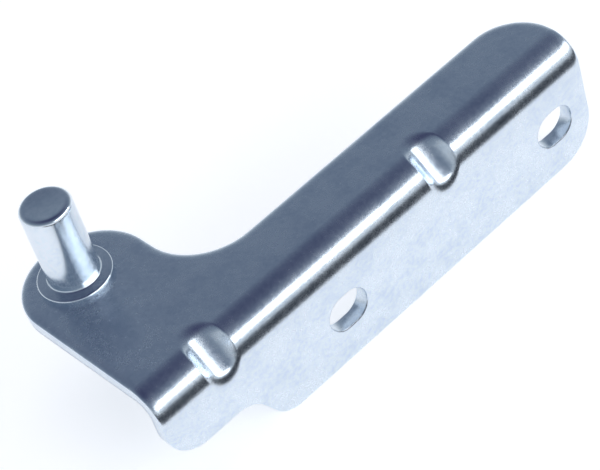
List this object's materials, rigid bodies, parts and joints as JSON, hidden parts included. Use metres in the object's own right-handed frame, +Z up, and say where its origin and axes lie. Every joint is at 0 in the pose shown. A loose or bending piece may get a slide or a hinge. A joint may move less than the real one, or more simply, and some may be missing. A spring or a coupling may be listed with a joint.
{
  "type": "fridge door hinge",
  "caption": "Bent steel bracket with a riveted, collared pivot pin that carries a fridge door's lower corner; short screw slots in the flange and darts across the bend.",
  "frame": {"origin": "on the pivot pin's axis, at the top of the collar, where the door's bush rests", "axes": "+X along the bend towards the far end, +Y away from the cabinet face towards the door, +Z up along the pin"},
  "size_m": [0.086, 0.0367, 0.0362],
  "materials": {
    "plated_sheet": "bright bluish zinc plating on rolled sheet, faintly mottled and scuffed",
    "plated_pin": "bright bluish zinc plating on a turned pin"
  },
  "bodies": {
    "root": {"bracket": "plated_sheet", "hinge_pin": "plated_pin"}
  },
  "joints": []
}
